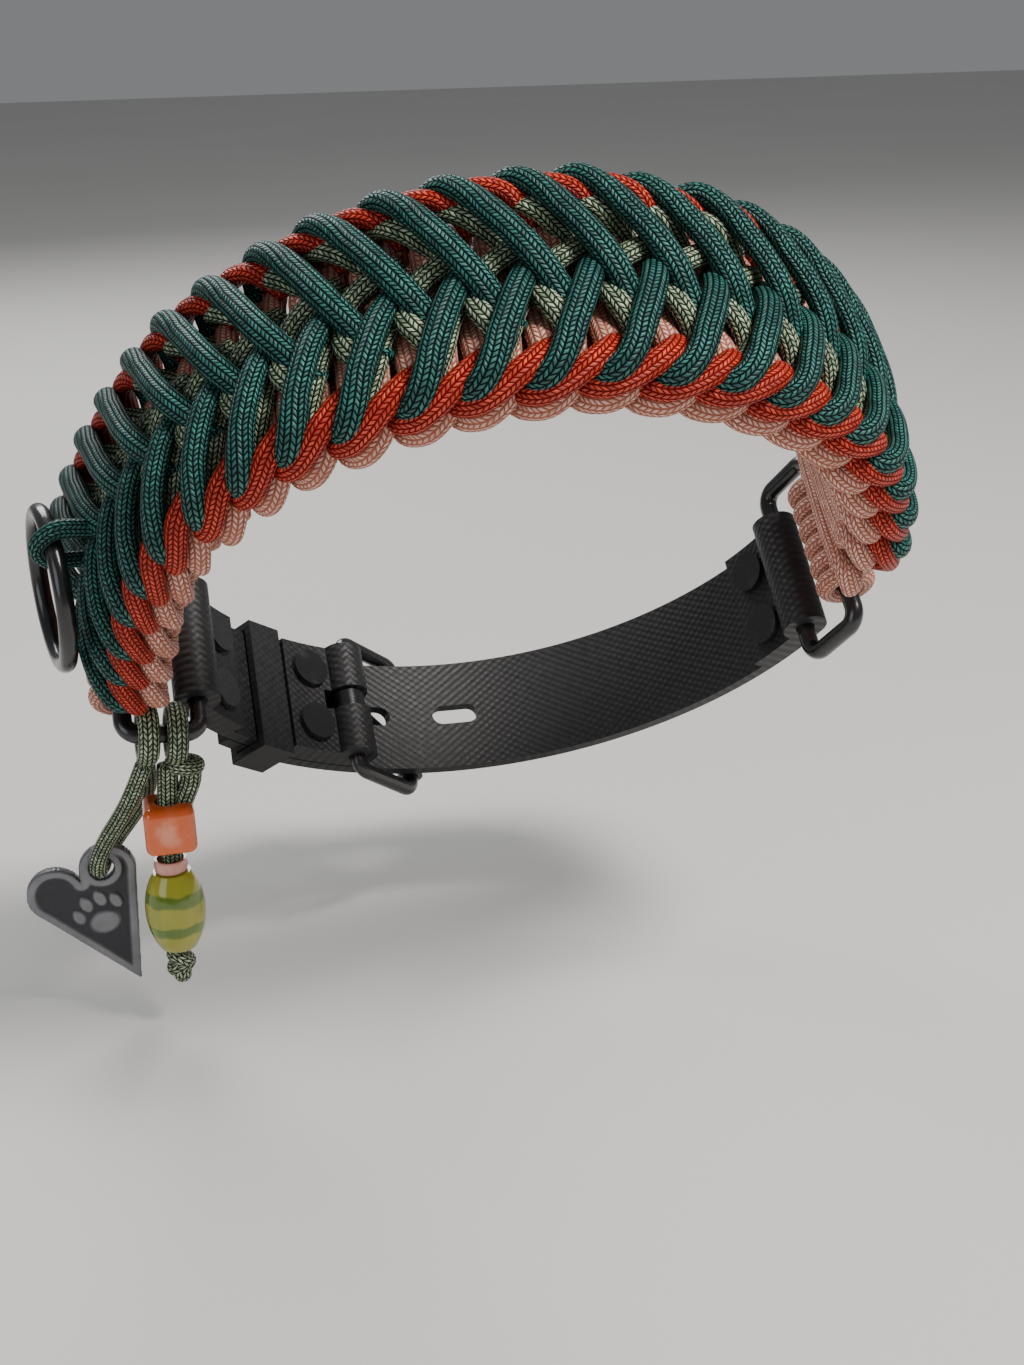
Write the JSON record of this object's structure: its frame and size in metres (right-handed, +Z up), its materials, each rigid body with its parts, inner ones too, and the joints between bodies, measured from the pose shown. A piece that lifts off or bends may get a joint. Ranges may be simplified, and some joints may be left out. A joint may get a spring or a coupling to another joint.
{
  "type": "braided collar",
  "caption": "Dog collar of woven cord lacing with a buckled strap, end loops, a swinging leash ring, and a cord lanyard with beads and a heart tag.",
  "frame": {"origin": "centre of the neck opening, on the ring's axis", "axes": "+X across the ring towards the end without charms, +Z up as the collar hangs, ring leaning 40 degrees forward about X"},
  "size_m": [0.1671, 0.1177, 0.1533],
  "materials": {
    "pink_cord": "braided cord",
    "red_cord": "braided cord",
    "sage_cord": "braided cord",
    "green_cord": "braided cord",
    "black_metal": "black coated",
    "black_strap": "coated webbing",
    "orange_ceramic": "glazed",
    "yellow_glass": "polished",
    "pink_ceramic": "glazed",
    "pewter": "dark, antiqued"
  },
  "bodies": {
    "root": {"core_cords": "pink_cord", "pink_mat_inner": "pink_cord", "pink_mat_outer": "pink_cord", "pink_scallops_front": "pink_cord", "pink_scallops_back": "pink_cord", "sage_lacing": "sage_cord", "red_lacing_front": "red_cord", "red_lacing_back": "red_cord", "green_lacing_front": "green_cord", "green_lacing_back": "green_cord", "end_wraps_left": "pink_cord", "end_wraps_right": "pink_cord", "ring_holder": "green_cord", "end_loop_left": "black_metal", "end_loop_right": "black_metal", "buckle_frame": "black_metal", "buckled_strap": "black_strap", "holed_strap": "black_strap", "left_rivets": "black_metal", "right_rivets": "black_metal", "buckle_rivets": "black_metal"},
    "leash_ring": {"leash_ring": "black_metal"},
    "buckle_roller": {"buckle_roller": "black_metal"},
    "buckle_tongue": {"buckle_tongue": "black_metal"},
    "keeper": {"strap_keeper": "black_strap"},
    "lanyard": {"lanyard_hitch": "sage_cord", "lanyard_cord": "sage_cord", "lanyard_strand": "sage_cord", "spacer_bead": "pink_ceramic", "stopper_knot": "sage_cord"},
    "orange_bead": {"orange_bead": "orange_ceramic"},
    "glass_bead": {"glass_bead": "yellow_glass"},
    "tag_strands": {"tag_hitch": "sage_cord", "tag_cord_left": "sage_cord", "tag_cord_right": "sage_cord", "tag_cord_loop": "sage_cord"},
    "heart_tag": {"heart_tag": "pewter"}
  },
  "joints": [
    {"name": "leash_ring_swing", "type": "hinge", "parent": "root", "child": "leash_ring", "pos_m": [-0.07872, -0.00903, 0.00884], "axis": [-0.1574, 0.7439, 0.6495], "range_deg": [0, 150]},
    {"name": "buckle_roller_spin", "type": "hinge", "parent": "root", "child": "buckle_roller", "pos_m": [-0.01345, 0.04628, -0.05516], "axis": [0, 0.766, 0.6428], "continuous": true},
    {"name": "buckle_tongue_play", "type": "hinge", "parent": "root", "child": "buckle_tongue", "pos_m": [-0.02571, 0.03711, -0.04423], "axis": [0, 0.766, 0.6428], "range_deg": [0, 3]},
    {"name": "keeper_slide", "type": "hinge", "parent": "root", "child": "keeper", "pos_m": [0, 0, 0], "axis": [0, 0.766, 0.6428], "range_deg": [0, 5]},
    {"name": "lanyard_swing", "type": "hinge", "parent": "root", "child": "lanyard", "pos_m": [-0.06181, 0.00204, -0.032], "axis": [1, 0, 0], "range_deg": [-60, 0]},
    {"name": "orange_bead_spin", "type": "hinge", "parent": "lanyard", "child": "orange_bead", "pos_m": [-0.06461, 0.00204, -0.0502], "axis": [0, 0, 1], "continuous": true},
    {"name": "glass_bead_spin", "type": "hinge", "parent": "lanyard", "child": "glass_bead", "pos_m": [-0.06521, 0.00204, -0.068], "axis": [0, 0, 1], "continuous": true},
    {"name": "tag_swing", "type": "hinge", "parent": "root", "child": "tag_strands", "pos_m": [-0.06696, 0.00161, -0.03148], "axis": [1, 0, 0], "range_deg": [0, 45]},
    {"name": "heart_swing", "type": "hinge", "parent": "tag_strands", "child": "heart_tag", "pos_m": [-0.07837, 0.01001, -0.06148], "axis": [0, 1, 0], "range_deg": [-25, 35]}
  ]
}
